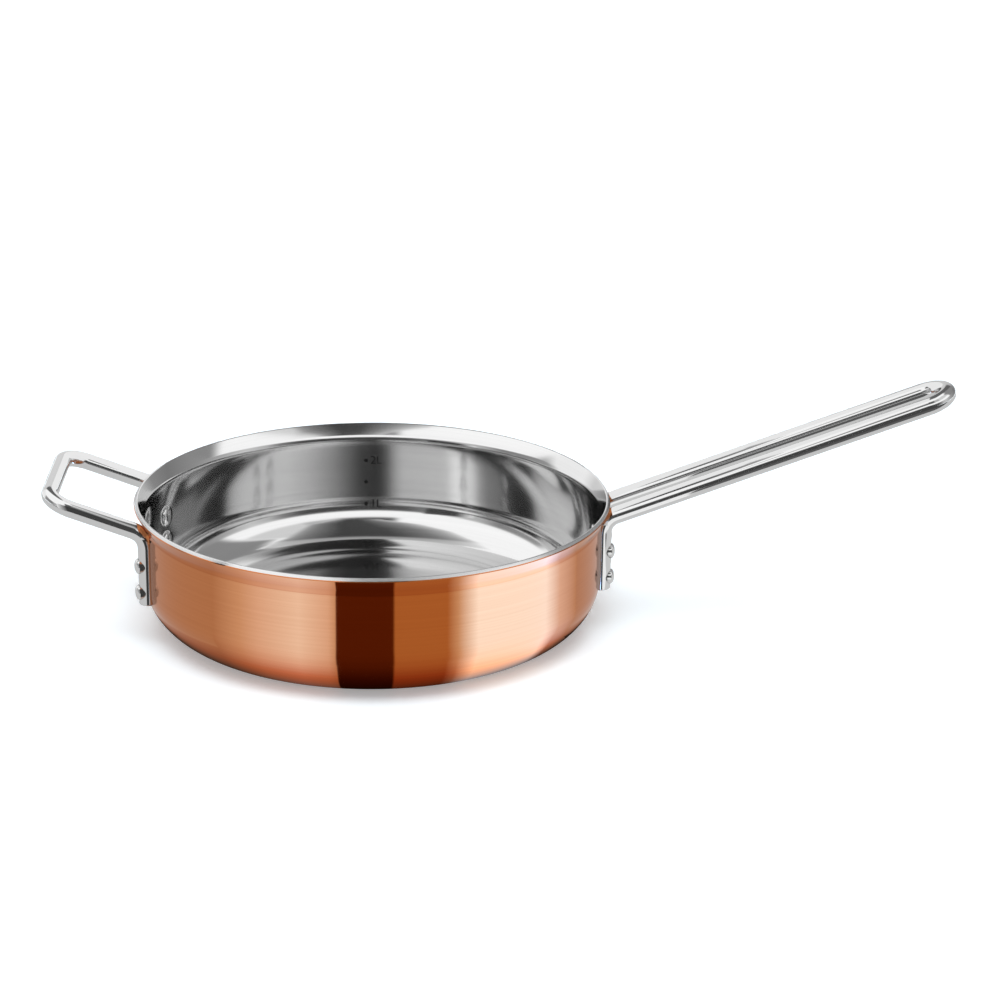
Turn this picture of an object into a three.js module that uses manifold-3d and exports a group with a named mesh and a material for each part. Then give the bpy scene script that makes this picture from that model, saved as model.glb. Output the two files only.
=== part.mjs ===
// Sauté pan of copper, aluminium and steel sheet with two riveted rod handles.
// Millimetres, +Z up. The origin is the centre of the base's underside, and the long handle
// points along +X, the helper handle along -X.

import * as THREE from 'three';
import { mergeVertices } from 'three/addons/utils/BufferGeometryUtils.js';
import Module from 'manifold-3d';

const wasm = await Module();
wasm.setup();

// Sheet layers
const COPPER_THICKNESS = 0.5;
const ALUMINIUM_THICKNESS = 1.6;
const STEEL_THICKNESS = 0.5;

// Pan body, measured on its outside
const WALL_RADIUS = 120;
const PAN_HEIGHT = 69;
const CORNER_RADIUS = 28;
const LIP_OVERHANG = 4;
const LIP_ANGLE = 31;
const LIP_BEND_RADIUS = 5.4;
const RIM_EDGE_BEVEL = 22;

// Legs of both handles, which stand upright against the wall
const LEG_THICKNESS = 5.2;
const LEG_BEND_RADIUS = 10;
const LEG_BELOW_RIVET = 6.8;

// Long handle, a narrow loop with a round end
const LONG_ROD = 9.2;
const LONG_SPACING = 24.4;
const LONG_LENGTH = 194;
const LONG_RISE_ANGLE = 20.7;
const LONG_KNEE_BELOW_RIM = 9.3;

// Helper handle, a wide short loop
const HELPER_ROD = 8.6;
const HELPER_SPACING = 76;
const HELPER_LENGTH = 57;
const HELPER_RISE_ANGLE = 19.8;
const HELPER_KNEE_BELOW_RIM = 9.9;
const HELPER_CORNER_RADIUS = 13;

// Rivets
const RIVET_SHANK_RADIUS = 2.4;
const RIVET_ABOVE_CORNER = 0.4;
const RIVET_GAP = 2.6;
const INNER_HEAD_RADIUS = 5.8;
const INNER_HEAD_HEIGHT = 2.2;
const OUTER_HEAD_RADIUS = 3.85;
const OUTER_HEAD_HEIGHT = 2;

// Fits and facets
const CLEARANCE = 0.3;
const SAME_POINT = 1e-4;
const SHEET_SEGMENTS = 56;
const CORNER_STEPS = 4;
const BEND_STEPS = 3;
const ROD_SIDES = 12;
const ROD_STEP_LENGTH = 4.8;
const RIVET_SEGMENTS = 14;
const DOME_STEPS = 3;

const QUARTER_TURN = Math.PI / 2;
const SHEET_THICKNESS = COPPER_THICKNESS + ALUMINIUM_THICKNESS + STEEL_THICKNESS;
const INNER_RADIUS = WALL_RADIUS - SHEET_THICKNESS;
const LEG_TOP = WALL_RADIUS + LEG_THICKNESS;
const LOWER_RIVET = CORNER_RADIUS + RIVET_ABOVE_CORNER;
const UPPER_RIVET = LOWER_RIVET + 2 * INNER_HEAD_RADIUS + RIVET_GAP;
const radians = THREE.MathUtils.degToRad;

// Materials
const copper = new THREE.MeshStandardMaterial({ color: 0xc9783f, metalness: 1, roughness: 0.3 });
const aluminium = new THREE.MeshStandardMaterial({ color: 0xd4d6d8, metalness: 1, roughness: 0.4 });
const polishedSteel = new THREE.MeshStandardMaterial({ color: 0xc8c9cb, metalness: 1, roughness: 0.15 });
const rodSteel = new THREE.MeshStandardMaterial({ color: 0xd8d9da, metalness: 1, roughness: 0.2 });

// A closed geometry as a solid: shared corners are merged and flat slivers dropped
function toSolid(geometry) {
  const bare = geometry.clone();
  bare.deleteAttribute('normal');
  bare.deleteAttribute('uv');
  const merged = mergeVertices(bare, SAME_POINT);
  const corners = merged.index.array;
  const triangles = [];
  for (let i = 0; i < corners.length; i += 3) {
    const [a, b, c] = corners.slice(i, i + 3);
    if (a !== b && b !== c && c !== a) triangles.push(a, b, c);
  }
  return new wasm.Manifold(new wasm.Mesh({
    numProp: 3,
    vertProperties: new Float32Array(merged.attributes.position.array),
    triVerts: new Uint32Array(triangles),
  }));
}

function toMesh(solid, name, material) {
  const result = solid.getMesh();
  const geometry = new THREE.BufferGeometry();
  geometry.setAttribute('position', new THREE.BufferAttribute(result.vertProperties, 3));
  geometry.setIndex(new THREE.BufferAttribute(result.triVerts, 1));
  geometry.computeVertexNormals();
  const mesh = new THREE.Mesh(geometry, material);
  mesh.name = name;
  return mesh;
}

// A profile of (radius, height) points turned about Z
function turned(points) {
  return toSolid(new THREE.LatheGeometry(points, SHEET_SEGMENTS).rotateX(QUARTER_TURN));
}

// The sheet's section at a depth inside its outer face, from the axis to the rim's edge.
// A negative depth lies outside the sheet.
function sheetLine(depth) {
  const line = [new THREE.Vector2(0, depth)];
  const cornerCentre = WALL_RADIUS - CORNER_RADIUS;
  const cornerRadius = CORNER_RADIUS - depth;
  for (let i = 0; i <= CORNER_STEPS; i++) {
    const turn = (i / CORNER_STEPS) * QUARTER_TURN;
    line.push(new THREE.Vector2(
      cornerCentre + cornerRadius * Math.sin(turn), CORNER_RADIUS - cornerRadius * Math.cos(turn)));
  }
  const lipTurn = radians(LIP_ANGLE);
  const bendOut = LIP_BEND_RADIUS * (1 - Math.cos(lipTurn));
  const outerLipLength = (LIP_OVERHANG - bendOut) / Math.sin(lipTurn);
  const bevelLength = Math.tan(radians(RIM_EDGE_BEVEL));
  const bendStart = PAN_HEIGHT - (LIP_BEND_RADIUS + SHEET_THICKNESS) * Math.sin(lipTurn)
    - (outerLipLength + SHEET_THICKNESS * bevelLength) * Math.cos(lipTurn);
  const bendRadius = LIP_BEND_RADIUS + depth;
  for (let i = 0; i <= BEND_STEPS; i++) {
    const turn = (i / BEND_STEPS) * lipTurn;
    line.push(new THREE.Vector2(
      WALL_RADIUS + LIP_BEND_RADIUS - bendRadius * Math.cos(turn), bendStart + bendRadius * Math.sin(turn)));
  }
  const lipLength = outerLipLength + depth * bevelLength;
  const lipStart = line[line.length - 1];
  line.push(new THREE.Vector2(
    lipStart.x + lipLength * Math.sin(lipTurn), lipStart.y + lipLength * Math.cos(lipTurn)));
  return line;
}

// One layer of the sheet between two depths, closed at the rim's edge
function sheetLayer(outerDepth, innerDepth) {
  return turned([...sheetLine(outerDepth), ...sheetLine(innerDepth).reverse()]);
}

// The space inside the sheet's section at a depth, filled from the base to just over the rim
function filledPan(depth) {
  const line = sheetLine(depth);
  const edge = line[line.length - 1];
  const lid = Math.max(edge.y, PAN_HEIGHT) + CLEARANCE;
  return turned([...line, new THREE.Vector2(edge.x, lid), new THREE.Vector2(0, lid)]);
}

// A part turn in space that starts along one direction and bends towards a second one
class BendCurve extends THREE.Curve {
  constructor(start, along, towards, radius, turn) {
    super();
    Object.assign(this, { start, along, towards, radius, turn });
  }

  getPoint(t, target = new THREE.Vector3()) {
    const angle = t * this.turn;
    return target.copy(this.start)
      .addScaledVector(this.along, this.radius * Math.sin(angle))
      .addScaledVector(this.towards, this.radius * (1 - Math.cos(angle)));
  }

  get end() {
    return this.getPoint(1);
  }
}

// The distance from the pan's axis to the middle of a leg, and the leg's place round the wall
const legRadius = (handle) => LEG_TOP - handle.rod / 2;
const legAngle = (handle) => Math.asin(handle.spacing / 2 / legRadius(handle));

// The rod's middle line: up one leg, out along the rise, round the loop's end and back
function rodPath(handle) {
  const up = new THREE.Vector3(0, 0, 1);
  const out = new THREE.Vector3(1, 0, 0);
  const across = new THREE.Vector3(0, 1, 0);
  const rise = radians(handle.riseAngle);
  const sloped = new THREE.Vector3(Math.cos(rise), 0, Math.sin(rise));
  const back = sloped.clone().negate();
  const under = new THREE.Vector3(Math.sin(rise), 0, -Math.cos(rise));
  const legTurn = QUARTER_TURN - rise;
  const legX = legRadius(handle) * Math.cos(legAngle(handle));
  const half = handle.spacing / 2;
  const knee = new THREE.Vector3(legX, -half, PAN_HEIGHT - handle.kneeBelowRim);
  const foot = new THREE.Vector3(legX, -half, LOWER_RIVET - LEG_BELOW_RIVET);
  const bendStart = knee.clone().addScaledVector(up, -LEG_BEND_RADIUS * Math.tan(legTurn / 2));
  const straightLength = handle.length - handle.rod / 2 - handle.cornerRadius;
  const cornerStart = knee.clone().addScaledVector(sloped, straightLength);

  const mirror = (point) => new THREE.Vector3(point.x, -point.y, point.z);
  const legBend = new BendCurve(bendStart, up, out, LEG_BEND_RADIUS, legTurn);
  const corner = new BendCurve(cornerStart, sloped, across, handle.cornerRadius, QUARTER_TURN);
  const farCorner = new BendCurve(mirror(corner.end), across, back, handle.cornerRadius, QUARTER_TURN);
  const farBend = new BendCurve(mirror(legBend.end), back, under, LEG_BEND_RADIUS, legTurn);

  const path = new THREE.CurvePath();
  path.add(new THREE.LineCurve3(foot, bendStart));
  path.add(legBend);
  path.add(new THREE.LineCurve3(legBend.end, cornerStart));
  path.add(corner);
  if (half - handle.cornerRadius > SAME_POINT) {
    path.add(new THREE.LineCurve3(corner.end, mirror(corner.end)));
  }
  path.add(farCorner);
  path.add(new THREE.LineCurve3(mirror(cornerStart), mirror(legBend.end)));
  path.add(farBend);
  path.add(new THREE.LineCurve3(mirror(bendStart), mirror(foot)));
  return path;
}

// The bent rod, grown all round by a margin
function rodSolid(handle, margin) {
  const path = rodPath(handle);
  const section = new THREE.Shape().absarc(0, 0, handle.rod / 2 + margin, 0, 2 * Math.PI);
  const geometry = new THREE.ExtrudeGeometry(section, {
    steps: Math.round(path.getLength() / ROD_STEP_LENGTH),
    curveSegments: ROD_SIDES / 2,
    bevelEnabled: false,
    extrudePath: path,
  });
  return toSolid(geometry.rotateZ(handle.facing));
}

// A solid turned about a leg's rivet line. Its profile is (radius, distance from the pan's axis).
function onRivetLine(points, place) {
  const geometry = new THREE.LatheGeometry(points, RIVET_SEGMENTS).rotateZ(-QUARTER_TURN);
  return toSolid(geometry.rotateZ(place.angle).translate(0, 0, place.height));
}

// A plain cylinder on a rivet line
function onRivetLineFrom(start, end, radius, place) {
  return onRivetLine([
    new THREE.Vector2(0, start), new THREE.Vector2(radius, start),
    new THREE.Vector2(radius, end), new THREE.Vector2(0, end)], place);
}

// A dome's profile from its edge to its crown
function domePoints(edgeRadius, base, height) {
  const points = [];
  for (let i = 0; i < DOME_STEPS; i++) {
    const turn = (i / DOME_STEPS) * QUARTER_TURN;
    points.push(new THREE.Vector2(edgeRadius * Math.cos(turn), base + height * Math.sin(turn)));
  }
  return [...points, new THREE.Vector2(0, base + height)];
}

// The hole for a rivet, from inside the pan to outside the leg
function rivetHole(place) {
  return onRivetLineFrom(
    INNER_RADIUS - INNER_HEAD_RADIUS, LEG_TOP + OUTER_HEAD_RADIUS, RIVET_SHANK_RADIUS + CLEARANCE, place);
}

// A rivet: a broad dome fitted to the liner, a shank, and a small dome that saddles the leg
function rivetSolid(handle, place, inside, legRoom) {
  const seat = Math.sqrt(INNER_RADIUS ** 2 - INNER_HEAD_RADIUS ** 2) - CLEARANCE;
  const outerSeat = LEG_TOP + CLEARANCE;
  const innerHead = onRivetLine([
    ...domePoints(INNER_HEAD_RADIUS, seat, -INNER_HEAD_HEIGHT).reverse(),
    new THREE.Vector2(INNER_HEAD_RADIUS, INNER_RADIUS), new THREE.Vector2(0, INNER_RADIUS)], place);
  const outerHead = onRivetLine([
    new THREE.Vector2(0, legRadius(handle)), new THREE.Vector2(OUTER_HEAD_RADIUS, legRadius(handle)),
    ...domePoints(OUTER_HEAD_RADIUS, outerSeat, OUTER_HEAD_HEIGHT)], place);
  const shank = onRivetLineFrom(
    seat - INNER_HEAD_HEIGHT / 2, outerSeat + OUTER_HEAD_HEIGHT / 2, RIVET_SHANK_RADIUS, place);
  return innerHead.intersect(inside).add(shank).add(outerHead.subtract(legRoom));
}

const handles = [
  {
    name: 'long_handle',
    rod: LONG_ROD,
    spacing: LONG_SPACING,
    length: LONG_LENGTH,
    riseAngle: LONG_RISE_ANGLE,
    kneeBelowRim: LONG_KNEE_BELOW_RIM,
    cornerRadius: LONG_SPACING / 2,
    facing: 0,
    legSides: { front: -1, rear: 1 },
  },
  {
    name: 'helper_handle',
    rod: HELPER_ROD,
    spacing: HELPER_SPACING,
    length: HELPER_LENGTH,
    riseAngle: HELPER_RISE_ANGLE,
    kneeBelowRim: HELPER_KNEE_BELOW_RIM,
    cornerRadius: HELPER_CORNER_RADIUS,
    facing: Math.PI,
    legSides: { front: 1, rear: -1 },
  },
];
const rivetHeights = { lower: LOWER_RIVET, upper: UPPER_RIVET };

const pan = new THREE.Group();
const outside = filledPan(-CLEARANCE);
const inside = filledPan(SHEET_THICKNESS + CLEARANCE);
const holes = [];

for (const handle of handles) {
  const legRoom = rodSolid(handle, CLEARANCE);
  let rod = rodSolid(handle, 0).subtract(outside);
  for (const [side, sign] of Object.entries(handle.legSides)) {
    for (const [level, height] of Object.entries(rivetHeights)) {
      const place = { angle: handle.facing + sign * legAngle(handle), height };
      const hole = rivetHole(place);
      const rivet = rivetSolid(handle, place, inside, legRoom);
      rod = rod.subtract(hole);
      holes.push(hole);
      pan.add(toMesh(rivet, `${handle.name}_rivet_${side}_${level}`, rodSteel));
    }
  }
  pan.add(toMesh(rod, handle.name, rodSteel));
}

const layers = [
  ['copper_outer_shell', 0, COPPER_THICKNESS, copper],
  ['aluminium_core', COPPER_THICKNESS, COPPER_THICKNESS + ALUMINIUM_THICKNESS, aluminium],
  ['steel_inner_liner', COPPER_THICKNESS + ALUMINIUM_THICKNESS, SHEET_THICKNESS, polishedSteel],
];
for (const [name, outerDepth, innerDepth, material] of layers) {
  let layer = sheetLayer(outerDepth, innerDepth);
  for (const hole of holes) layer = layer.subtract(hole);
  pan.add(toMesh(layer, name, material));
}

export default pan;
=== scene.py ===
"""Looks of a copper sauté pan with a steel liner and two rod handles.

The script makes smooth pieces that stand for the CAD nodes, their finishes, a studio and the camera.
Sizes are in millimetres and angles in degrees. They become metres and radians where a mesh is made.
The pan's axis is Z, the long handle points along +X, and the camera stands on the -Y side.
"""

import math

import bmesh
import bpy
from mathutils import Matrix, Vector


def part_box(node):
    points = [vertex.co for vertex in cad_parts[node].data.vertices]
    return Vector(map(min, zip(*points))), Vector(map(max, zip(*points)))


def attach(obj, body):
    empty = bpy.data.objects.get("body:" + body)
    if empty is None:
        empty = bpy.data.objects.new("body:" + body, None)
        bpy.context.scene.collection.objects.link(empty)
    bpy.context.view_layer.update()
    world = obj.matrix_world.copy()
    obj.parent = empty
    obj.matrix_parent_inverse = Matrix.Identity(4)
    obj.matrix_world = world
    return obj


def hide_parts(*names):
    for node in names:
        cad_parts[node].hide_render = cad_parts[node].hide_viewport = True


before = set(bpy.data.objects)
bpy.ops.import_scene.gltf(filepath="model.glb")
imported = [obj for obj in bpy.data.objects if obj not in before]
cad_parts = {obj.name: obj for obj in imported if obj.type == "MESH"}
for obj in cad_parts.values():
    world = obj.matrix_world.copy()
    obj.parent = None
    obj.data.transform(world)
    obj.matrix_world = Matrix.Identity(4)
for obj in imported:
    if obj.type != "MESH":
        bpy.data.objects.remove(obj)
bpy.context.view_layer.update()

MM = 0.001

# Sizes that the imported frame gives
RIM_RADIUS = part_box("copper_outer_shell")[1].x / MM
PAN_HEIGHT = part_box("steel_inner_liner")[1].z / MM

# Sheet layers and the pan's section
COPPER_THICKNESS = 0.5
ALUMINIUM_THICKNESS = 1.6
STEEL_THICKNESS = 0.5
WALL_RADIUS = 120
CORNER_RADIUS = 28
LIP_ANGLE = 31
LIP_BEND_RADIUS = 5.4
RIM_EDGE_BEVEL = 22
RIM_OUTER_ROUNDING = 0.15
RIM_INNER_ROUNDING = 0.6

# Legs, rods and rivets
LEG_THICKNESS = 5.2
LEG_BEND_RADIUS = 10
LEG_BELOW_RIVET = 6.8
FOOT_CHAMFER = 0.6
RIVET_SHANK_RADIUS = 2.4
RIVET_ABOVE_CORNER = 0.4
RIVET_GAP = 2.6
INNER_HEAD_RADIUS = 5.8
INNER_HEAD_HEIGHT = 2.2
OUTER_HEAD_RADIUS = 4
OUTER_HEAD_HEIGHT = 1.9
DOME_FULLNESS = 0.9
SEAT_GAP = 0.05

# Fineness of the meshes
RING_SEGMENTS = 288
WALL_STEP = 2.5
ARC_STEP = 3
ROD_SIDES = 48
RIVET_SEGMENTS = 48
DOME_STEPS = 14
ROUNDING_STEPS = 6
SHARP_ANGLE = 35
SAME_POINT = 0.05

SHEET_THICKNESS = COPPER_THICKNESS + ALUMINIUM_THICKNESS + STEEL_THICKNESS
INNER_RADIUS = WALL_RADIUS - SHEET_THICKNESS
LIP_OVERHANG = RIM_RADIUS - WALL_RADIUS
LIP_TURN = math.radians(LIP_ANGLE)
LIP_LENGTH = (LIP_OVERHANG - LIP_BEND_RADIUS * (1 - math.cos(LIP_TURN))) / math.sin(LIP_TURN)
EDGE_SLOPE = math.tan(math.radians(RIM_EDGE_BEVEL))
LEG_TOP = WALL_RADIUS + LEG_THICKNESS
LOWER_RIVET = CORNER_RADIUS + RIVET_ABOVE_CORNER
UPPER_RIVET = LOWER_RIVET + 2 * INNER_HEAD_RADIUS + RIVET_GAP

HANDLES = {
    "long_handle": {
        "rod": 9.2,
        "spacing": 24.4,
        "length": 194,
        "rise": 20.7,
        "knee_below_rim": 9.3,
        "corner_radius": 12.2,
        "facing": 0,
        "legs": {"front": -1, "rear": 1},
    },
    "helper_handle": {
        "rod": 8.6,
        "spacing": 76,
        "length": 57,
        "rise": 19.8,
        "knee_below_rim": 9.9,
        "corner_radius": 13,
        "facing": 180,
        "legs": {"front": 1, "rear": -1},
    },
}

# Volume marks on the back of the liner
MARK_HEIGHTS = {"2L": 47.8, "": 35.1, "1L": 22.1}
MARK_OFFSET = -6.3
MARK_DOT_RADIUS = 1.05
MARK_TEXT_SIZE = 6.6
MARK_TEXT_START = 2.4
MARK_TEXT_STEPS = 6
MARK_THICKNESS = 0.03

# Finishes: two tones, a range of roughness, the polishing lines as waves per millimetre each way,
# the lines' height in millimetres, and for brushed metal how far its shine is drawn out
STEEL_TONES = ((0.88, 0.88, 0.88), (0.92, 0.92, 0.92))
FINISHES = {
    "brushed_copper": {
        "tones": ((0.70, 0.25, 0.095), (0.74, 0.27, 0.105)),
        "roughness": (0.09, 0.12),
        "lines": (0.02, 0.02, 6),
        "line_height": 0.0004,
        "anisotropy": 0.3,
    },
    "polished_liner_steel": {
        "tones": STEEL_TONES,
        "roughness": (0.07, 0.11),
        "lines": (0.03, 0.03, 4),
        "line_height": 0.0008,
    },
    "polished_rod_steel": {
        "tones": STEEL_TONES,
        "roughness": (0.05, 0.11),
        "lines": (1.2, 1.2, 0.03),
        "line_height": 0.0008,
    },
    "rivet_steel": {
        "tones": STEEL_TONES,
        "roughness": (0.1, 0.18),
        "lines": (0.8, 0.8, 0.8),
        "line_height": 0.002,
    },
    "cut_aluminium": {
        "tones": ((0.82, 0.83, 0.84), (0.9, 0.9, 0.9)),
        "roughness": (0.22, 0.34),
        "lines": (0.05, 0.05, 9),
        "line_height": 0.003,
    },
    "etched_mark": {
        "tones": ((0.03, 0.03, 0.03), (0.06, 0.06, 0.06)),
        "roughness": (0.4, 0.6),
        "lines": (2, 2, 2),
        "line_height": 0.002,
    },
}
FINE_DETAIL = 4
BROAD_DETAIL = 2
BROAD_WAVES = 0.12
NOISE_ROUGHNESS = 0.6
NOISE_RANGE = (0.3, 0.7)
BRUSHING_TURN = 0.25

# Camera at the photograph's viewing angle
CAMERA_PLACE = (28.7, -1370.2, 547.4)
CAMERA_YAW = 1.578
CAMERA_PITCH = 19.36
CAMERA_ROLL = 0.862
CAMERA_LENS = 100
CAMERA_SENSOR = 36

# Studio: a white table, and cards that only reflections see. A card's tones run between its stops.
# The cards' places and tones were fitted to what the photographed metal reflects, from its own camera.
# The table's own colour is a little blue, against the copper's warm light on it.
FLOOR_REACH = 9000
FLOOR_TONE = (0.82, 0.92, 0.98)
FLOOR_ROUGHNESS = 0.3
FLOOR_SPECULAR = 0.1
FLOOR_LIFT = 0.3
CARD_STEP = 2.5
ZENITH = 90
FULL_TURN = 360

# Glossy Depth is below this at a first reflection, and above it at later ones
FIRST_REFLECTION = 1.5

# Heights of the cards that lie on the table
TABLE_CARD_HEIGHT = 0.2
LATER_TABLE_HEIGHT = 0.3

# Cards for the copper wall's front, and again for its back. A row of the fan at the wall's foot is
# (distance, stretch, brightness, share of the foot's tone), and so is a row of the shelf under the lip.
# A row of the upright screen has its height in place of the distance.
FAN_HEIGHT = 0.4
# The fan's rows dim towards the pan's foot and under it. This is painted shade of the table beneath the
# pan, as the wall reflects it.
FAN_ROWS = (
    (14, 1.06, 0.9, 0.3), (3, 1.1, 0.75, 0.6), (-3, 1.08, 0.65, 0.9), (-8, 1.02, 0.5, 1),
    (-12, 0.97, 0.35, 1), (-17, 0.91, 0.18, 1), (-22, 0.86, 0.07, 1), (-100, 0.7, 0.02, 1))
SCREEN_DISTANCE = 14
SCREEN_TOP = 58
SCREEN_ROWS = ((SCREEN_TOP, 1, 1, 0), (24, 1, 1, 0), (FAN_HEIGHT, 1.06, 0.9, 0.3))
SHELF_ROWS = ((SCREEN_DISTANCE, 1, 1, 0), (8, 1, 1, 0.05), (0.3, 1, 0.85, 0.3))

# Their tones by the wall's angle, each beside the wall and at its foot. Angle 0 is the wall's front,
# seen from the camera, and + is to the right.
SHADE = ((0.57, 0.57, 0.57), (0.57, 0.35, 0.25))
SAND = ((0.8, 0.96, 1.15), (0.8, 0.45, 0.3))
PALE = ((0.97, 1.33, 1.95), (0.97, 0.56, 0.4))
GLOW = ((1.14, 1.87, 3.1), (1.14, 0.67, 0.55))
DARK = ((0.11, 0.031, 0.006), (0.06, 0.012, 0.002))
BROWN = ((0.53, 0.37, 0.19), (0.5, 0.15, 0.06))
TAWNY = ((0.78, 0.92, 1.02), (0.9, 0.55, 0.4))
BRIGHT = ((1.4, 2.75, 5.3), (2.6, 2.9, 3.2))
TAN = ((0.65, 0.65, 0.6), (0.65, 0.4, 0.28))
WALL_STOPS = (
    (-40, SHADE), (-32, SAND), (-26.6, PALE), (-16.4, GLOW), (-9.4, PALE), (-7.6, SAND), (-7.3, DARK),
    (5.8, DARK), (6.4, BROWN), (18.8, BROWN), (21.5, TAWNY), (26.7, BRIGHT), (47, BRIGHT), (52.5, PALE),
    (60, TAN))
SIDE_STOPS = ((-90, SHADE), (-50, SHADE), *WALL_STOPS, (70, SHADE), (90, SHADE))

# The sky that first reflections show: greys round the horizon by bearing, and soft patches on white
# above. Bearing 0 is the camera's side, and + is to the right.
# A patch is (bearings, heights, feathers, grey).
FIRST_SKY_RADIUS = 2600
HORIZON_TOP = 24
HORIZON_FEATHER = 4
HORIZON_STOPS = (
    (-180, 0.65), (-168, 0.7), (-145, 0.65), (-135, 0.9), (-112, 0.9), (-104, 0.3), (-72, 0.22),
    (-60, 0.45), (-48, 0.5), (-36, 0.3), (-18, 0.1), (0, 0.05), (40, 0.07), (52, 0.22), (60, 0.47),
    (72, 0.6), (84, 0.45), (96, 0.35), (108, 0.28), (130, 0.19), (145, 0.25), (158, 0.55), (180, 0.65))
SKY_WHITE = 1.0
SKY_PATCHES = (
    ((100, 150), (20, 58), (8, 6), 0.25),
    ((-11, 22), (46, 66), (8, 5), 0.1),
    ((26, 46), (46, 66), (8, 5), 0.46),
    ((52, 90), (46, 66), (8, 5), 0.66),
    ((150, 200), (26, 78), (8, 6), 0.12),
    ((-200, -150), (26, 78), (8, 6), 0.12),
)

# The sky that reflections of reflections show: greys by bearing low down and higher up, under a dark top
LATER_SKY_RADIUS = 1200
LATER_LOW_STOPS = (
    (-180, 0.03), (-165, 0.05), (-150, 0.16), (-132, 0.32), (-108, 0.51), (-84, 0.64), (-48, 0.64),
    (-30, 0.58), (-20, 0.46), (-13, 0.3), (-8, 0.05), (0, 0.02), (16, 0.025), (28, 0.06), (36, 0.17),
    (54, 0.22), (63, 0.36), (72, 0.78), (84, 0.96), (92, 0.96), (102, 0.62), (150, 0.56), (158, 0.38),
    (166, 0.1), (174, 0.03), (180, 0.03))
LATER_HIGH_STOPS = (
    (-180, 0.1), (-150, 0.3), (-108, 0.7), (-84, 0.7), (-40, 0.81), (-26, 0.8), (-22, 0.55), (-18.5, 0.2),
    (-13, 0.04), (0, 0.01), (40, 0.015), (71, 0.04), (76, 0.15), (81, 0.27), (90, 0.42), (102, 0.47),
    (150, 0.4), (180, 0.1))
LATER_CHANGE = (42, 58)
LATER_TOP = 78
LATER_FEATHER = 8
LATER_TOP_TONE = 0.02

# The dark card over the pan as rows of (y, left, right, lift), with its greys from left to right
CEILING_HEIGHT = 300
CEILING_ROWS = (
    (200, -100, 80, 0.4), (150, -106, 86, 0.27), (128, -109, 89, 0.01), (105, -110, 90, 0),
    (20, -122, 115, 0), (-70, -92, 140, 0), (-150, -10, 100, 0))
CEILING_STOPS = (
    (0, 0.75), (0.1, 0.42), (0.25, 0.2), (0.45, 0.06), (0.68, 0.05), (0.85, 0.18), (0.94, 0.3), (1, 0.6))
CEILING_STEPS = 20

# Light on the table and the object: its share from all round, how closely the rest gathers overhead,
# and its lean to the front
AROUND_LIGHT = 0.1
OVERHEAD_POWER = 14
OVERHEAD_LEAN = 16

# Table cards as (x range, y range, grey)
TABLE_CARDS = {
    "table_front": ((-1500, 1500), (-2500, -330), 0.06),
    "table_left": ((-900, 114), (-330, 600), 0.57),
    "table_right": ((190, 1500), (-110, 600), 0.6),
    "table_right_behind": ((114, 190), (-60, 600), 0.6),
    "table_right_near": ((114, 190), (-330, -60), 0.9),
    "table_right_front": ((190, 1500), (-330, -110), 0.1),
}
LATER_TABLE_REACH = 900
LATER_TABLE_TONE = 0.35

# Dark upright cards before the helper handle as (x, grey) and before each near leg as (x range, y)
HELPER_CARD = ((-235, 0.9), (-165, 0.05), (-85, 0.05))
HELPER_CARD_Y = -105
HELPER_CARD_Z = (140, 60)
# The leg cards are painted shade: dark sheets in the shaded gap between each near leg and the wall, seen
# in reflections.
LEG_CARDS = {"helper_leg_card": ((-116, -107.5), -54), "long_leg_card": ((117, 121.5), -27)}
LEG_CARD_Z = (58, 0.5)
LEG_CARD_TONE = 0.04

# Pale upright cards over the pan's left and right ends, which face the handles
SIDE_CARD_X = 112
SIDE_CARD_Y = (900, -30)
SIDE_CARD_Z = (900, 71)
SIDE_CARD_TONE = 0.88


# Meshes

def add_object(name, mesh):
    made = bpy.data.objects.new(name, mesh)
    bpy.context.scene.collection.objects.link(made)
    return made


def add_mesh(name, points, faces, grain):
    """An object from points in millimetres. A point's grain is its place along the polishing lines."""
    mesh = bpy.data.meshes.new(name)
    mesh.from_pydata([Vector(point) * MM for point in points], [], faces)
    lines = mesh.attributes.new("grain", "FLOAT_VECTOR", "CORNER")
    for corner in mesh.loops:
        lines.data[corner.index].vector = grain[corner.vertex_index]
    return add_object(name, mesh)


def lathe(name, outline, segments=RING_SEGMENTS):
    """A closed mesh turned about Z from (radius, height) points that start and end on the axis."""
    points = []
    grain = []
    rings = []
    travelled = 0
    before = outline[0]
    for radius, height in outline:
        travelled += math.dist(before, (radius, height))
        before = (radius, height)
        count = segments if radius > 0 else 1
        ring = []
        for k in range(count):
            turn = 2 * math.pi * k / segments
            x = radius * math.cos(turn)
            y = radius * math.sin(turn)
            ring.append(len(points))
            points.append((x, y, height))
            grain.append((x, y, travelled))
        rings.append(ring * (segments // count))
    faces = []
    for lower, upper in zip(rings, rings[1:]):
        for k in range(segments):
            after = (k + 1) % segments
            corners = [lower[k], lower[after], upper[after], upper[k]]
            faces.append(list(dict.fromkeys(corners)))
    return add_mesh(name, points, faces, grain)


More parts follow.
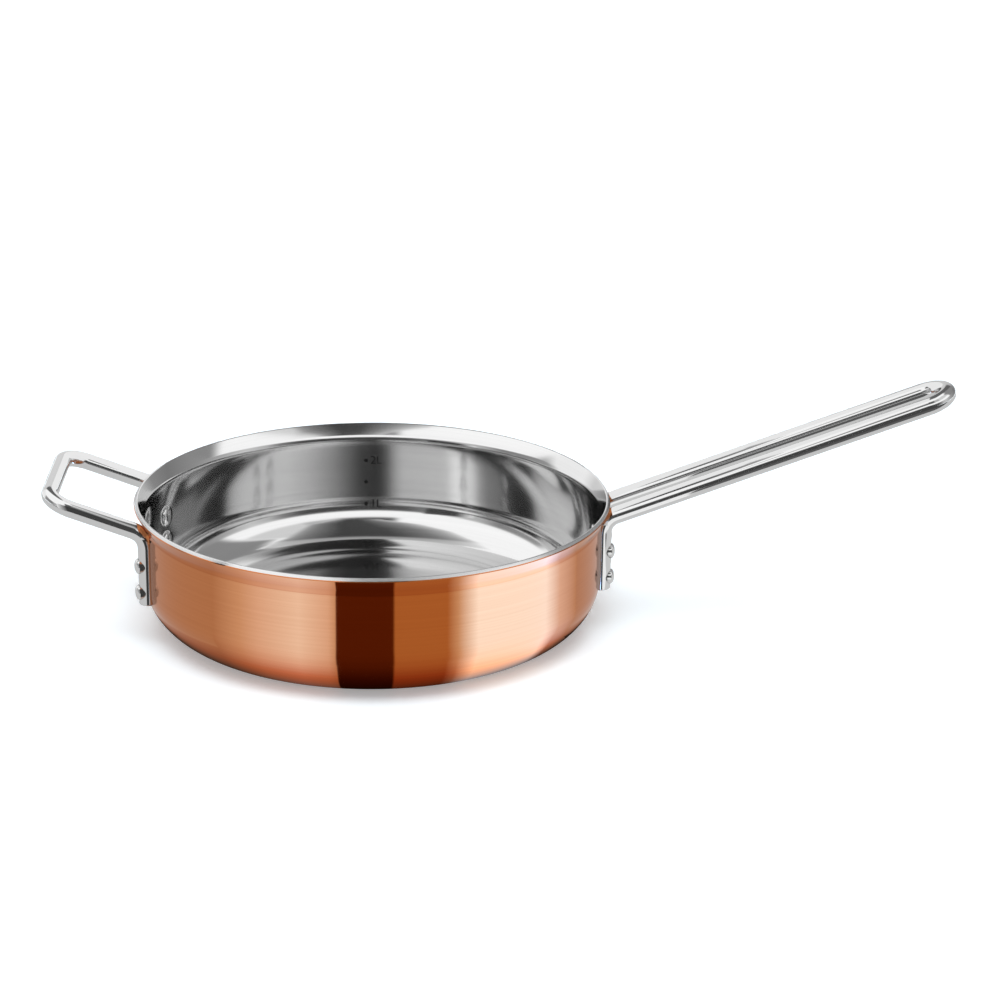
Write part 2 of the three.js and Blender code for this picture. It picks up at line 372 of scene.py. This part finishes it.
def tube(name, path, radius, chamfer=0):
    """A round rod along a path of points in millimetres, with flat ends that can be chamfered."""
    tangents = [(b - a).normalized() for a, b in zip(path, path[1:])]
    between = [(a + b).normalized() for a, b in zip(tangents, tangents[1:])]
    tangents = [tangents[0], *between, tangents[-1]]
    stations = [(path[0], tangents[0], radius - chamfer)]
    stations.append((path[0] + chamfer * tangents[0], tangents[0], radius))
    stations += [(place, tangent, radius) for place, tangent in zip(path[1:-1], tangents[1:-1])]
    stations.append((path[-1] - chamfer * tangents[-1], tangents[-1], radius))
    stations.append((path[-1], tangents[-1], radius - chamfer))
    side = tangents[0].orthogonal().normalized()
    heading = tangents[0]
    travelled = 0
    before = path[0]
    points = []
    grain = []
    for place, tangent, reach in stations:
        side = heading.rotation_difference(tangent) @ side
        heading = tangent
        travelled += (place - before).length
        before = place
        other = tangent.cross(side)
        for k in range(ROD_SIDES):
            turn = 2 * math.pi * k / ROD_SIDES
            points.append(place + reach * (math.cos(turn) * side + math.sin(turn) * other))
            grain.append((radius * math.cos(turn), radius * math.sin(turn), travelled))
    faces = [list(range(ROD_SIDES))[::-1]]
    for i in range(len(stations) - 1):
        for k in range(ROD_SIDES):
            after = (k + 1) % ROD_SIDES
            lower = i * ROD_SIDES
            upper = lower + ROD_SIDES
            faces.append([lower + k, lower + after, upper + after, upper + k])
    last = (len(stations) - 1) * ROD_SIDES
    faces.append(list(range(last, last + ROD_SIDES)))
    return add_mesh(name, points, faces, grain)


def combine(target, tool, operation):
    """Cuts, joins or keeps the common part of two closed meshes. The target keeps the result."""
    change = target.modifiers.new(operation, "BOOLEAN")
    change.operation = operation
    change.solver = "EXACT"
    change.object = tool
    evaluated = target.evaluated_get(bpy.context.evaluated_depsgraph_get())
    mesh = bpy.data.meshes.new_from_object(evaluated)
    target.modifiers.clear()
    target.data = mesh
    return target


def remove(*tools):
    for tool in tools:
        bpy.data.objects.remove(tool)


def join(name, objects):
    """One object from several, for use as one tool."""
    joined = bmesh.new()
    for made in objects:
        joined.from_mesh(made.data)
    mesh = bpy.data.meshes.new(name)
    joined.to_mesh(mesh)
    joined.free()
    remove(*objects)
    return add_object(name, mesh)


def smooth(made):
    made.data.polygons.foreach_set("use_smooth", [True] * len(made.data.polygons))
    made.data.set_sharp_from_angle(angle=math.radians(SHARP_ANGLE))
    return made


def finish_piece(made, material, slot, *nodes):
    """Gives a piece its material and places it on the frame, for the nodes that it stands for."""
    made.data.materials.clear()
    made.data.materials.append(material)
    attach(made, "root")
    if nodes:
        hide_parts(*nodes)
    return made


# The pan's section

def arc_points(centre, radius, start, end):
    """Points on an arc in the section, from one angle to another."""
    steps = max(2, round(abs(end - start) / ARC_STEP))
    points = []
    for i in range(steps + 1):
        turn = math.radians(start + (end - start) * i / steps)
        points.append((centre[0] + radius * math.cos(turn), centre[1] + radius * math.sin(turn)))
    return points


def straight_points(start, end):
    """Points between two ends, about one wall step apart and without the ends."""
    steps = max(1, round(math.dist(start, end) / WALL_STEP))
    points = []
    for i in range(1, steps):
        share = i / steps
        points.append((start[0] + (end[0] - start[0]) * share, start[1] + (end[1] - start[1]) * share))
    return points


def lip_start(depth):
    """The sheet's section at a depth inside its outer face, from the axis to where the lip's bend ends."""
    corner = arc_points((WALL_RADIUS - CORNER_RADIUS, CORNER_RADIUS), CORNER_RADIUS - depth, -90, 0)
    bend_start = PAN_HEIGHT - (LIP_BEND_RADIUS + SHEET_THICKNESS) * math.sin(LIP_TURN)
    bend_start -= (LIP_LENGTH + SHEET_THICKNESS * EDGE_SLOPE) * math.cos(LIP_TURN)
    bend_centre = (WALL_RADIUS + LIP_BEND_RADIUS, bend_start)
    bend = arc_points(bend_centre, LIP_BEND_RADIUS + depth, 180, 180 - LIP_ANGLE)
    return [(0, depth), *corner, *straight_points(corner[-1], bend[0]), *bend]


def on_lip(depth, beyond):
    """A point at a depth in the lip, some way beyond the length of its outer face."""
    radius, height = lip_start(depth)[-1]
    length = LIP_LENGTH + beyond
    return (radius + length * math.sin(LIP_TURN), height + length * math.cos(LIP_TURN))


def rounded(before, corner, after, radius):
    """A corner of a section as an arc that meets both of its sides."""
    to_before = (Vector(before) - Vector(corner)).normalized()
    to_after = (Vector(after) - Vector(corner)).normalized()
    half = to_before.angle(to_after) / 2
    middle = Vector(corner) + (to_before + to_after).normalized() * (radius / math.sin(half))
    first = Vector(corner) + to_before * (radius / math.tan(half))
    last = Vector(corner) + to_after * (radius / math.tan(half))
    points = []
    for i in range(ROUNDING_STEPS + 1):
        spoke = (first - middle).lerp(last - middle, i / ROUNDING_STEPS).normalized()
        points.append(tuple(middle + radius * spoke))
    return points


def rim_edge():
    """The rim's edge as (depth, length beyond the outer face), from its outer corner to its inner one."""
    tip = (SHEET_THICKNESS, SHEET_THICKNESS * EDGE_SLOPE)
    outer = rounded((0, -LIP_LENGTH), (0, 0), tip, RIM_OUTER_ROUNDING)
    inner = rounded((0, 0), tip, (SHEET_THICKNESS, -LIP_LENGTH), RIM_INNER_ROUNDING)
    return outer + inner


def edge_share(outer_depth, inner_depth):
    """The part of the rim's edge between two depths."""
    points = []
    edge = rim_edge()
    for (start, first), (end, second) in zip(edge, edge[1:]):
        cuts = [min(end, max(start, depth)) for depth in (outer_depth, inner_depth)]
        for depth in sorted({start, *cuts, end}):
            if outer_depth <= depth <= inner_depth:
                share = (depth - start) / (end - start) if end > start else 0
                points.append((depth, first + (second - first) * share))
    return list(dict.fromkeys(points))


def sheet_layer(name, outer_depth, inner_depth):
    """One layer of the sheet. Its edge follows the rim's."""
    edge = [on_lip(depth, beyond) for depth, beyond in edge_share(outer_depth, inner_depth)]
    return lathe(name, [*lip_start(outer_depth), *edge, *reversed(lip_start(inner_depth))])


def filled_pan(name, depth):
    """The space inside the sheet's section at a depth, filled to over the rim."""
    rim = on_lip(depth, 0)
    lid = PAN_HEIGHT + LEG_THICKNESS
    return lathe(name, [*lip_start(depth), rim, (rim[0], lid), (0, lid)])


# Handles and rivets

def leg_radius(handle):
    """How far a leg's middle line stands from the pan's axis."""
    return LEG_TOP - handle["rod"] / 2


def leg_angle(handle):
    """How far round the wall a leg stands from its handle's middle."""
    return math.degrees(math.asin(handle["spacing"] / 2 / leg_radius(handle)))


def bend_points(start, along, towards, radius, turn):
    """A part turn in space that starts along one direction and bends towards a second one."""
    steps = max(2, round(turn / ARC_STEP))
    points = []
    for i in range(steps + 1):
        angle = math.radians(turn * i / steps)
        points.append(start + radius * (math.sin(angle) * along + (1 - math.cos(angle)) * towards))
    return points


def rod_path(handle):
    """The rod's middle line: up one leg, out along the rise, round the loop's end and back."""
    up = Vector((0, 0, 1))
    out = Vector((1, 0, 0))
    across = Vector((0, 1, 0))
    rise = math.radians(handle["rise"])
    sloped = Vector((math.cos(rise), 0, math.sin(rise)))
    leg_turn = 90 - handle["rise"]
    leg_x = leg_radius(handle) * math.cos(math.radians(leg_angle(handle)))
    half = handle["spacing"] / 2
    knee = Vector((leg_x, -half, PAN_HEIGHT - handle["knee_below_rim"]))
    foot = Vector((leg_x, -half, LOWER_RIVET - LEG_BELOW_RIVET))
    bend_start = knee - up * LEG_BEND_RADIUS * math.tan(math.radians(leg_turn / 2))
    straight = handle["length"] - handle["rod"] / 2 - handle["corner_radius"]
    corner_start = knee + sloped * straight
    first_half = [foot]
    first_half += bend_points(bend_start, up, out, LEG_BEND_RADIUS, leg_turn)
    first_half += bend_points(corner_start, sloped, across, handle["corner_radius"], 90)
    mirrored = [Vector((p.x, -p.y, p.z)) for p in reversed(first_half)]
    # Where the loop's end is a plain half turn, both halves end at one point
    if (first_half[-1] - mirrored[0]).length < SAME_POINT:
        mirrored = mirrored[1:]
    facing = Matrix.Rotation(math.radians(handle["facing"]), 3, "Z")
    return [facing @ point for point in first_half + mirrored]


def dome(radius, base, height):
    """A dome's section from its edge to its crown, with a slightly flattened top."""
    points = []
    for i in range(DOME_STEPS + 1):
        turn = math.radians(90 * i / DOME_STEPS)
        points.append((radius * math.cos(turn) ** DOME_FULLNESS, base + height * math.sin(turn)))
    points[-1] = (0, base + height)
    return points


def on_rivet_line(name, outline, angle, height):
    """A mesh turned about a rivet's line. Its outline is (radius, distance from the pan's axis)."""
    made = lathe(name, outline, RIVET_SEGMENTS)
    lay_down = Matrix.Rotation(math.radians(90), 4, "Y")
    swing = Matrix.Rotation(math.radians(angle), 4, "Z")
    made.data.transform(Matrix.Translation((0, 0, height * MM)) @ swing @ lay_down)
    return made


def pin(name, radius, start, end, angle, height):
    """A plain round pin on a rivet's line."""
    return on_rivet_line(name, [(0, start), (radius, start), (radius, end), (0, end)], angle, height)


def rivet(name, handle, angle, height, well):
    """A rivet: a broad dome fitted to the liner, a shank, and a small dome that saddles the leg."""
    seat = math.sqrt(INNER_RADIUS ** 2 - INNER_HEAD_RADIUS ** 2)
    crown = [(r, 2 * seat - h) for r, h in reversed(dome(INNER_HEAD_RADIUS, seat, INNER_HEAD_HEIGHT))]
    outline = [*crown, (INNER_HEAD_RADIUS, INNER_RADIUS), (0, INNER_RADIUS)]
    inner = on_rivet_line(name, outline, angle, height)
    combine(inner, well, "INTERSECT")
    middle = leg_radius(handle)
    cap = dome(OUTER_HEAD_RADIUS, LEG_TOP, OUTER_HEAD_HEIGHT)
    outline = [(0, middle), (OUTER_HEAD_RADIUS, middle), *cap]
    outer = on_rivet_line("outer_head", outline, angle, height)
    turn = math.radians(angle)
    leg_middle = Vector((middle * math.cos(turn), middle * math.sin(turn), 0))
    leg_line = [leg_middle, leg_middle + Vector((0, 0, PAN_HEIGHT))]
    leg = tube("leg_room", leg_line, handle["rod"] / 2 + SEAT_GAP)
    combine(outer, leg, "DIFFERENCE")
    shank = pin("shank", RIVET_SHANK_RADIUS, seat - INNER_HEAD_HEIGHT / 2,
                LEG_TOP + OUTER_HEAD_HEIGHT / 2, angle, height)
    combine(inner, shank, "UNION")
    combine(inner, outer, "UNION")
    remove(outer, leg, shank)
    return inner


def rivet_places():
    """Each rivet's node name with its handle, place round the wall and height."""
    for handle_name, handle in HANDLES.items():
        for side, sign in handle["legs"].items():
            for level, height in {"lower": LOWER_RIVET, "upper": UPPER_RIVET}.items():
                angle = handle["facing"] + sign * leg_angle(handle)
                yield f"{handle_name}_rivet_{side}_{level}", handle, angle, height


# Materials

def new_material(name):
    material = bpy.data.materials.new(name)
    material.use_nodes = True
    tree = material.node_tree
    return material, tree, tree.nodes["Principled BSDF"]


def add_node(tree, kind, inputs=None, **settings):
    made = tree.nodes.new(kind)
    for key, value in settings.items():
        setattr(made, key, value)
    for key, value in (inputs or {}).items():
        if isinstance(value, bpy.types.NodeSocket):
            tree.links.new(value, made.inputs[key])
        else:
            made.inputs[key].default_value = value
    return made


def grain_noise(tree, waves, detail):
    """Noise drawn out along the metal's polishing lines, by waves per millimetre each way."""
    lines = add_node(tree, "ShaderNodeAttribute", attribute_name="grain")
    stretched = add_node(tree, "ShaderNodeVectorMath", {
        0: lines.outputs["Vector"], 1: waves}, operation="MULTIPLY")
    noise = add_node(tree, "ShaderNodeTexNoise", {
        "Vector": stretched.outputs[0], "Scale": 1, "Detail": detail, "Roughness": NOISE_ROUGHNESS})
    return noise.outputs[0]


def spread(tree, factor, low, high):
    """The noise's middle range mapped to values from low to high."""
    start, end = NOISE_RANGE
    mapped = add_node(tree, "ShaderNodeMapRange", {
        "Value": factor, "From Min": start, "From Max": end, "To Min": low, "To Max": high})
    return mapped.outputs[0]


def tinted(tree, factor, dark, light):
    """A colour between two tones."""
    ramp = add_node(tree, "ShaderNodeValToRGB", {"Fac": factor})
    ramp.color_ramp.elements[0].color = (*dark, 1)
    ramp.color_ramp.elements[1].color = (*light, 1)
    return ramp.outputs["Color"]


def metal(name, tones, roughness, lines, line_height, anisotropy=0):
    """A metal with polishing lines: two tones, a range of roughness and fine bumps along the lines."""
    material, tree, shader = new_material(name)
    fine = grain_noise(tree, lines, FINE_DETAIL)
    broad = grain_noise(tree, [wave * BROAD_WAVES for wave in lines], BROAD_DETAIL)
    shader.inputs["Metallic"].default_value = 1
    tree.links.new(tinted(tree, spread(tree, broad, 0, 1), *tones), shader.inputs["Base Color"])
    tree.links.new(spread(tree, fine, *roughness), shader.inputs["Roughness"])
    bump = add_node(tree, "ShaderNodeBump", {
        "Height": fine, "Strength": 1, "Distance": line_height * MM})
    tree.links.new(bump.outputs[0], shader.inputs["Normal"])
    if anisotropy:
        shader.inputs["Anisotropic"].default_value = anisotropy
        shader.inputs["Anisotropic Rotation"].default_value = BRUSHING_TURN
        tangent = add_node(tree, "ShaderNodeTangent", direction_type="RADIAL", axis="Z")
        tree.links.new(tangent.outputs[0], shader.inputs["Tangent"])
    return material


def floor_material():
    """A white table: its colour is lifted to white for what looks at it, and it keeps the shadow."""
    material, tree, shader = new_material("white_table")
    shader.inputs["Base Color"].default_value = (*FLOOR_TONE, 1)
    shader.inputs["Roughness"].default_value = FLOOR_ROUGHNESS
    shader.inputs["Specular IOR Level"].default_value = FLOOR_SPECULAR
    path = add_node(tree, "ShaderNodeLightPath")
    seen = add_node(tree, "ShaderNodeMath", {
        0: path.outputs["Is Camera Ray"], 1: path.outputs["Is Glossy Ray"]}, operation="ADD")
    seen = add_node(tree, "ShaderNodeMath", {
        0: seen.outputs[0], 1: path.outputs["Is Transmission Ray"]}, operation="ADD")
    lift = add_node(tree, "ShaderNodeMath", {0: seen.outputs[0], 1: FLOOR_LIFT}, operation="MULTIPLY")
    shader.inputs["Emission Color"].default_value = (1, 1, 1, 1)
    tree.links.new(lift.outputs[0], shader.inputs["Emission Strength"])
    return material


def card_material(name, hidden_when):
    """Cards glow in their own tones. They are clear from behind, and to reflections of the wrong depth."""
    material, tree, shader = new_material(name)
    tree.nodes.remove(shader)
    tone = add_node(tree, "ShaderNodeAttribute", attribute_name="tone")
    glow = add_node(tree, "ShaderNodeEmission", {"Color": tone.outputs["Color"], "Strength": 1})
    clear = add_node(tree, "ShaderNodeBsdfTransparent")
    hidden = add_node(tree, "ShaderNodeNewGeometry").outputs["Backfacing"]
    path = add_node(tree, "ShaderNodeLightPath")
    wrong_depth = add_node(tree, "ShaderNodeMath", {
        0: path.outputs["Glossy Depth"], 1: FIRST_REFLECTION}, operation=hidden_when)
    hidden = add_node(tree, "ShaderNodeMath", {
        0: hidden, 1: wrong_depth.outputs[0]}, operation="MAXIMUM").outputs[0]
    mixed = add_node(tree, "ShaderNodeMixShader", {0: hidden, 1: glow.outputs[0], 2: clear.outputs[0]})
    tree.links.new(mixed.outputs[0], tree.nodes["Material Output"].inputs["Surface"])
    material.cycles.emission_sampling = "NONE"
    return material


# Studio

def add_floor():
    corners = [(x * FLOOR_REACH, y * FLOOR_REACH, 0) for x, y in ((-1, -1), (1, -1), (1, 1), (-1, 1))]
    floor = add_mesh("floor", corners, [[0, 1, 2, 3]], corners)
    floor.data.materials.append(floor_material())


def graded(stops):
    """Places along a card with their tones: each stop, and small steps between the stops."""
    row = []
    for (start, first), (end, second) in zip(stops, stops[1:]):
        count = math.ceil((end - start) / CARD_STEP)
        for i in range(count):
            share = i / count
            row.append((start + (end - start) * share, Vector(first).lerp(Vector(second), share)))
    row.append((stops[-1][0], Vector(stops[-1][1])))
    return row


def grey(tone):
    return (tone, tone, tone)


def add_card(name, rows, material):
    """A card from rows of (point in millimetres, tone), seen only in reflections."""
    places = [place for row in rows for place in row]
    wide = len(rows[0])
    faces = []
    for i in range(len(rows) - 1):
        for k in range(wide - 1):
            first = i * wide + k
            faces.append([first, first + 1, first + wide + 1, first + wide])
    points = [point for point, tone in places]
    card = add_mesh(name, points, faces, points)
    tones = card.data.attributes.new("tone", "FLOAT_COLOR", "POINT")
    for corner, (point, tone) in zip(tones.data, places):
        corner.color = (*tone, 1)
    card.data.materials.append(material)
    card.visible_camera = False
    card.visible_diffuse = False
    card.visible_transmission = False
    card.visible_volume_scatter = False
    card.visible_shadow = False


def seen_by_wall(angle, distance):
    """The place at a distance that the wall shows to the camera, or one straight back under the pan."""
    out = math.radians(angle)
    x = WALL_RADIUS * math.sin(out)
    y = -WALL_RADIUS * math.cos(out)
    look = 2 * out + math.atan2(x - CAMERA_PLACE[0], y - CAMERA_PLACE[1])
    reach = max(distance, 0)
    return (x + reach * math.sin(look), y - reach * math.cos(look) - min(distance, 0))


def wall_row(stops, height, distance, stretch, brightness, low):
    """One row of a card for the wall, with the tones that the wall shows."""
    # The brightness dims the fan's rows near and under the pan. This is painted shade of the table there.
    toned = []
    for angle, (beside, foot) in stops:
        toned.append((angle, Vector(beside).lerp(Vector(foot), low) * brightness))
    row = []
    for angle, tone in graded(toned):
        row.append(((*seen_by_wall(angle * stretch, distance), height), tone))
    return row


def wall_cards(material):
    """The fan at the wall's foot, the screen before the wall, and the shelf for the lip's underside."""
    fan = [wall_row(SIDE_STOPS, FAN_HEIGHT, *row) for row in FAN_ROWS]
    screen = [wall_row(WALL_STOPS, height, SCREEN_DISTANCE, *row) for height, *row in SCREEN_ROWS]
    shelf = [wall_row(SIDE_STOPS, SCREEN_TOP, *row) for row in SHELF_ROWS]
    for side, turn in {"front": 0, "back": 180}.items():
        facing = Matrix.Rotation(math.radians(turn), 3, "Z")
        for name, rows in {"foot_fan": fan, "wall_screen": screen, "lip_shelf": shelf}.items():
            turned = [[(facing @ Vector(point), tone) for point, tone in row] for row in rows]
            add_card(f"{side}_{name}", turned, material)


def soft_step(low, high, value):
    share = min(1, max(0, (value - low) / (high - low)))
    return share * share * (3 - 2 * share)


def soft_band(value, band, feather):
    """1 inside a band, falling to 0 over the feather outside it."""
    low, high = band
    return soft_step(low - feather, low, value) * (1 - soft_step(high, high + feather, value))


def between_stops(stops, place):
    """The grey at a place along a row of stops."""
    for (start, first), (end, second) in zip(stops, stops[1:]):
        if place <= end:
            return first + (second - first) * (place - start) / (end - start)
    return stops[-1][1]


def first_sky_tone(bearing, height):
    """Soft patches on white, over the horizon's own greys."""
    tone = SKY_WHITE
    for bearings, heights, feathers, patch in SKY_PATCHES:
        weight = soft_band(bearing, bearings, feathers[0]) * soft_band(height, heights, feathers[1])
        tone += (patch - tone) * weight
    low = 1 - soft_step(HORIZON_TOP, HORIZON_TOP + HORIZON_FEATHER, height)
    return tone + (between_stops(HORIZON_STOPS, bearing) - tone) * low


def later_sky_tone(bearing, height):
    """Greys by bearing that change half way up, and a dark top."""
    low = between_stops(LATER_LOW_STOPS, bearing)
    high = between_stops(LATER_HIGH_STOPS, bearing)
    tone = low + (high - low) * soft_step(*LATER_CHANGE, height)
    return tone + (LATER_TOP_TONE - tone) * soft_step(LATER_TOP, LATER_TOP + LATER_FEATHER, height)


def sky_dome(name, radius, tone_at, material):
    """A dome far out that shows the sky's greys in reflections."""
    rows = []
    levels = round(ZENITH / CARD_STEP)
    columns = round(FULL_TURN / CARD_STEP)
    for i in range(levels, -1, -1):
        height = ZENITH * i / levels
        level = radius * math.cos(math.radians(height))
        rise = radius * math.sin(math.radians(height))
        row = []
        for k in range(columns + 1):
            bearing = FULL_TURN * k / columns - FULL_TURN / 2
            turn = math.radians(bearing)
            place = (level * math.sin(turn), -level * math.cos(turn), rise)
            row.append((place, grey(tone_at(bearing, height))))
        rows.append(row)
    add_card(name, rows, material)


def ceiling(material):
    """A dark card over the pan, graded from left to right."""
    rows = []
    stops = [(share * CEILING_STEPS * CARD_STEP, grey(tone)) for share, tone in CEILING_STOPS]
    for y, left, right, lift in CEILING_ROWS:
        row = []
        for place, tone in graded(stops):
            x = left + (right - left) * place / stops[-1][0]
            row.append(((x, y, CEILING_HEIGHT), tone + Vector(grey(lift))))
        rows.append(row)
    add_card("ceiling", rows, material)


def table_card(name, x_range, y_range, tone, material, height=TABLE_CARD_HEIGHT):
    """A card of one grey that lies on the table."""
    rows = [[((x, y, height), grey(tone)) for x in x_range] for y in y_range]
    add_card(name, rows, material)


def add_cards():
    """All cards: those for first reflections, and the sky and the table for later ones."""
    first = card_material("first_reflections_card", "GREATER_THAN")
    later = card_material("later_reflections_card", "LESS_THAN")
    wall_cards(first)
    sky_dome("first_sky", FIRST_SKY_RADIUS, first_sky_tone, first)
    sky_dome("later_sky", LATER_SKY_RADIUS, later_sky_tone, later)
    ceiling(first)
    for name, (x_range, y_range, tone) in TABLE_CARDS.items():
        table_card(name, x_range, y_range, tone, first)
    reach = (-LATER_TABLE_REACH, LATER_TABLE_REACH)
    table_card("later_table", reach, reach, LATER_TABLE_TONE, later, LATER_TABLE_HEIGHT)
    rows = [[((x, HELPER_CARD_Y, z), grey(tone)) for x, tone in HELPER_CARD] for z in HELPER_CARD_Z]
    add_card("helper_card", rows, first)
    # Painted shade beside each near leg
    for name, (x_range, y) in LEG_CARDS.items():
        add_card(name, [[((x, y, z), grey(LEG_CARD_TONE)) for x in x_range] for z in LEG_CARD_Z], first)
    for name, sign in {"long_side_card": 1, "helper_side_card": -1}.items():
        rows = []
        for z in SIDE_CARD_Z:
            rows.append([((sign * SIDE_CARD_X, y, z), grey(SIDE_CARD_TONE)) for y in SIDE_CARD_Y[::sign]])
        add_card(name, rows, first)


def add_world():
    """White where it is seen or reflected. It lights the scene softly, mostly from overhead."""
    world = bpy.data.worlds.new("white_studio")
    world.use_nodes = True
    tree = world.node_tree
    path = add_node(tree, "ShaderNodeLightPath")
    direction = add_node(tree, "ShaderNodeTexCoord")
    lean = math.radians(OVERHEAD_LEAN)
    overhead_way = (0, -math.sin(lean), math.cos(lean))
    along = add_node(tree, "ShaderNodeVectorMath", {
        0: direction.outputs["Generated"], 1: overhead_way}, operation="DOT_PRODUCT")
    height = add_node(tree, "ShaderNodeMath", {0: along.outputs["Value"], 1: 0}, operation="MAXIMUM")
    overhead = add_node(tree, "ShaderNodeMath", {
        0: height.outputs[0], 1: OVERHEAD_POWER}, operation="POWER")
    # This strength keeps the light on an open table at about 1, whatever the power and the lean
    crown = (1 - AROUND_LIGHT) * (OVERHEAD_POWER + 2) / 2 / math.cos(lean)
    lit = add_node(tree, "ShaderNodeMath", {
        0: overhead.outputs[0], 1: crown, 2: AROUND_LIGHT}, operation="MULTIPLY_ADD")
    strength = add_node(tree, "ShaderNodeMix", {
        "Factor": path.outputs["Is Diffuse Ray"], "A": 1, "B": lit.outputs[0]})
    light = tree.nodes["Background"]
    light.inputs["Color"].default_value = (1, 1, 1, 1)
    tree.links.new(strength.outputs["Result"], light.inputs["Strength"])
    bpy.context.scene.world = world


def add_camera():
    yaw = math.radians(CAMERA_YAW)
    pitch = math.radians(CAMERA_PITCH)
    roll = math.radians(CAMERA_ROLL)
    ahead = Vector((math.sin(yaw) * math.cos(pitch), math.cos(yaw) * math.cos(pitch), -math.sin(pitch)))
    level = Vector((math.cos(yaw), -math.sin(yaw), 0))
    upright = level.cross(ahead)
    right = math.cos(roll) * level + math.sin(roll) * upright
    up = math.cos(roll) * upright - math.sin(roll) * level
    camera = bpy.data.cameras.new("camera")
    camera.lens = CAMERA_LENS
    camera.sensor_width = CAMERA_SENSOR
    made = add_object("camera", camera)
    turned = Matrix((right, up, -ahead)).transposed().to_4x4()
    made.matrix_world = Matrix.Translation(Vector(CAMERA_PLACE) * MM) @ turned
    bpy.context.scene.camera = made


# Volume marks

def liner_radius(height):
    """The liner's inside radius at a height, also where it curves into the floor."""
    drop = max(0, CORNER_RADIUS - height)
    corner = CORNER_RADIUS - SHEET_THICKNESS
    return WALL_RADIUS - CORNER_RADIUS + math.sqrt(corner ** 2 - drop ** 2)


def wrapped(made, height):
    """Lays a flat mesh, drawn in millimetres, on the back of the liner at a height."""
    for vertex in made.data.vertices:
        across, rise, proud = vertex.co
        reach = liner_radius(height + rise) - SEAT_GAP
        turn = (across + MARK_OFFSET) / reach
        distance = reach - proud
        vertex.co = Vector((distance * math.sin(turn), distance * math.cos(turn), height + rise)) * MM
    return made


def mark_text(name, words):
    """Plain lettering as a thin mesh in millimetres, centred on the mark's height."""
    text = bpy.data.curves.new(name, "FONT")
    text.body = words
    text.size = MARK_TEXT_SIZE
    text.align_y = "CENTER"
    text.extrude = MARK_THICKNESS
    text.resolution_u = MARK_TEXT_STEPS
    drawn = add_object(name, text)
    evaluated = drawn.evaluated_get(bpy.context.evaluated_depsgraph_get())
    mesh = bpy.data.meshes.new_from_object(evaluated)
    remove(drawn)
    mesh.transform(Matrix.Translation((MARK_TEXT_START, 0, 0)))
    return add_object(name, mesh)


def mark_dot(name):
    """A round dot as a thin mesh in millimetres."""
    outline = [(0, -MARK_THICKNESS), (MARK_DOT_RADIUS, -MARK_THICKNESS),
               (MARK_DOT_RADIUS, MARK_THICKNESS), (0, MARK_THICKNESS)]
    dot = lathe(name, outline, RIVET_SEGMENTS)
    dot.data.transform(Matrix.Scale(1 / MM, 4))
    return dot


# Making the pan

add_camera()
add_world()
add_floor()
add_cards()

materials = {name: metal(name, **values) for name, values in FINISHES.items()}

well_radius = INNER_RADIUS - SEAT_GAP
well = lathe("well", [(0, 0), (well_radius, 0), (well_radius, PAN_HEIGHT), (0, PAN_HEIGHT)])
for node, handle, angle, height in rivet_places():
    piece = smooth(rivet(f"{node}_domed", handle, angle, height, well))
    finish_piece(piece, materials["rivet_steel"], "rivet", node)
remove(well)

bore_radius = RIVET_SHANK_RADIUS + SEAT_GAP
bore_start = INNER_RADIUS - INNER_HEAD_RADIUS
bore_end = LEG_TOP + OUTER_HEAD_RADIUS
bores = join("bores", [
    pin("bore", bore_radius, bore_start, bore_end, angle, height)
    for node, handle, angle, height in rivet_places()
])

outside = filled_pan("outside", -SEAT_GAP)
for node, handle in HANDLES.items():
    rod = tube(f"{node}_rod", rod_path(handle), handle["rod"] / 2, FOOT_CHAMFER)
    combine(rod, outside, "DIFFERENCE")
    combine(rod, bores, "DIFFERENCE")
    finish_piece(smooth(rod), materials["polished_rod_steel"], "rod", node)
remove(outside)

core_depth = COPPER_THICKNESS + ALUMINIUM_THICKNESS
for piece_name, depths, finish, slot, node in (
    ("copper_shell", (0, COPPER_THICKNESS), "brushed_copper", "copper", "copper_outer_shell"),
    ("core_sheet", (COPPER_THICKNESS, core_depth), "cut_aluminium", "core", "aluminium_core"),
    ("liner_sheet", (core_depth, SHEET_THICKNESS), "polished_liner_steel", "liner", "steel_inner_liner"),
):
    layer = sheet_layer(piece_name, *depths)
    combine(layer, bores, "DIFFERENCE")
    finish_piece(smooth(layer), materials[finish], slot, node)
remove(bores)

for words, height in MARK_HEIGHTS.items():
    label = words or "half"
    dot = wrapped(mark_dot(f"mark_dot_{label}"), height)
    finish_piece(dot, materials["etched_mark"], "liner")
    if words:
        lettering = wrapped(mark_text(f"mark_text_{label}", words), height)
        finish_piece(lettering, materials["etched_mark"], "liner")

bpy.context.scene.view_settings.view_transform = "Standard"
